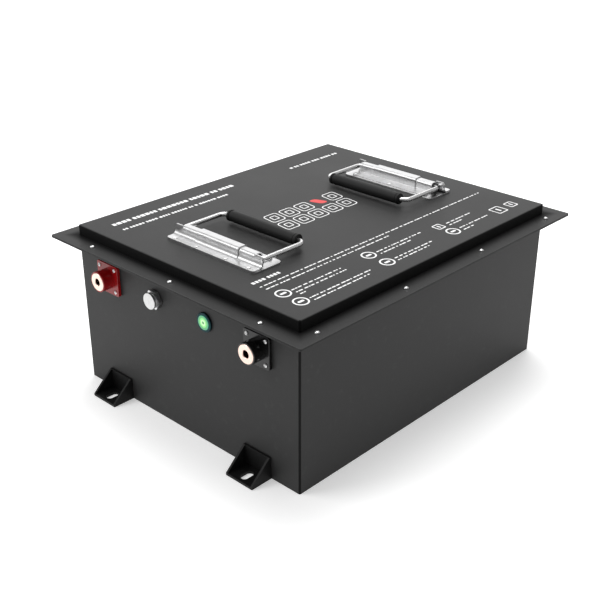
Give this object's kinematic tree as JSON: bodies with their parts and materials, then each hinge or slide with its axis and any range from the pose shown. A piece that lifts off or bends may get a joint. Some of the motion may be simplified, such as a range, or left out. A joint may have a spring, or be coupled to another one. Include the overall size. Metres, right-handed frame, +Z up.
{
  "type": "battery pack",
  "caption": "Rechargeable battery pack in a flanged sheet-steel case, with folding lifting handles, threaded terminals, a relief valve, a lit push button and slotted feet.",
  "frame": {"origin": "middle of the underside of the case, on the floor that the feet stand on", "axes": "+Z up, +Y from the terminal face towards the rear, +X from the positive towards the negative terminal"},
  "size_m": [0.396, 0.482, 0.2142],
  "materials": {
    "case_paint": "dark grey powder coat, fine texture",
    "foot_paint": "black powder coat",
    "zinc_steel": "zinc plated",
    "stainless_steel": "turned stainless steel",
    "spring_steel": "drawn wire",
    "red_plastic": "gloss moulded",
    "black_plastic": "gloss moulded",
    "copper": "machined copper",
    "black_rubber": "moulded rubber",
    "button_green": "lit, translucent",
    "button_glow": "lit, translucent",
    "cell_film": "aluminium can in blue film",
    "plate_aluminium": "mill finish",
    "module_plastic": "matte moulded with a metal heat sink",
    "white_print": "screen-printed ink",
    "lead_sheath_red": "silicone sheath",
    "lead_sheath_black": "silicone sheath"
  },
  "bodies": {
    "pack": {"battery_module": "module_plastic", "bus_bar_nuts": "zinc_steel", "button_body": "stainless_steel", "button_nut": "stainless_steel", "button_seal": "black_rubber", "button_spring": "spring_steel", "case_body": "case_paint", "case_flange": "case_paint", "cell_group_1": "cell_film", "cell_group_2": "cell_film", "cell_group_3": "cell_film", "cell_group_4": "cell_film", "foot_front_left": "foot_paint", "foot_front_right": "foot_paint", "foot_rear_left": "foot_paint", "foot_rear_right": "foot_paint", "front_end_plate": "plate_aluminium", "front_handle_bushes": "black_plastic", "front_handle_housing": "zinc_steel", "front_handle_plate": "zinc_steel", "front_handle_rivets": "zinc_steel", "front_handle_springs": "spring_steel", "left_link_bar": "copper", "lid": "case_paint", "lid_clinch_nuts": "zinc_steel", "lid_flange": "case_paint", "lid_gasket": "black_rubber", "lid_screws": "zinc_steel", "negative_bus_bar": "copper", "negative_lead": "lead_sheath_black", "negative_terminal_contact": "copper", "negative_terminal_gasket": "black_rubber", "negative_terminal_housing": "black_plastic", "negative_terminal_screws": "zinc_steel", "positive_bus_bar": "copper", "positive_lead": "lead_sheath_red", "positive_terminal_contact": "copper", "positive_terminal_gasket": "black_rubber", "positive_terminal_housing": "red_plastic", "positive_terminal_screws": "zinc_steel", "rear_end_plate": "plate_aluminium", "rear_handle_bushes": "black_plastic", "rear_handle_housing": "zinc_steel", "rear_handle_plate": "zinc_steel", "rear_handle_rivets": "zinc_steel", "rear_handle_springs": "spring_steel", "rear_link_bar": "copper", "right_link_bar": "copper", "valve_body": "stainless_steel", "valve_nut": "stainless_steel", "valve_seal": "black_rubber", "valve_spring": "spring_steel"},
    "front_bail": {"front_handle_bail": "zinc_steel", "front_handle_grip": "black_rubber"},
    "rear_bail": {"rear_handle_bail": "zinc_steel", "rear_handle_grip": "black_rubber"},
    "valve": {"valve_cap": "stainless_steel", "valve_retainer": "stainless_steel"},
    "button": {"button_cap": "button_green", "button_light_ring": "button_glow"}
  },
  "joints": [
    {"name": "front_handle_hinge", "type": "hinge", "parent": "pack", "child": "front_bail", "pos_m": [0, -0.1508, 0.2073], "axis": [1, 0, 0], "range_deg": [0, 95], "stiffness_Nm_per_rad": 0.15, "springref_deg": -34.38},
    {"name": "rear_handle_hinge", "type": "hinge", "parent": "pack", "child": "rear_bail", "pos_m": [0, 0.1508, 0.2073], "axis": [-1, 0, 0], "range_deg": [0, 95], "stiffness_Nm_per_rad": 0.15, "springref_deg": -34.38},
    {"name": "valve_lift", "type": "slide", "parent": "pack", "child": "valve", "axis": [0, -1, 0], "range_m": [0, 0.002], "stiffness_N_per_m": 400, "springref_m": -0.004, "deforming": ["valve_spring"]},
    {"name": "button_press", "type": "slide", "parent": "pack", "child": "button", "axis": [0, 1, 0], "range_m": [0, 0.0022], "stiffness_N_per_m": 500, "springref_m": -0.004, "deforming": ["button_spring"]}
  ]
}
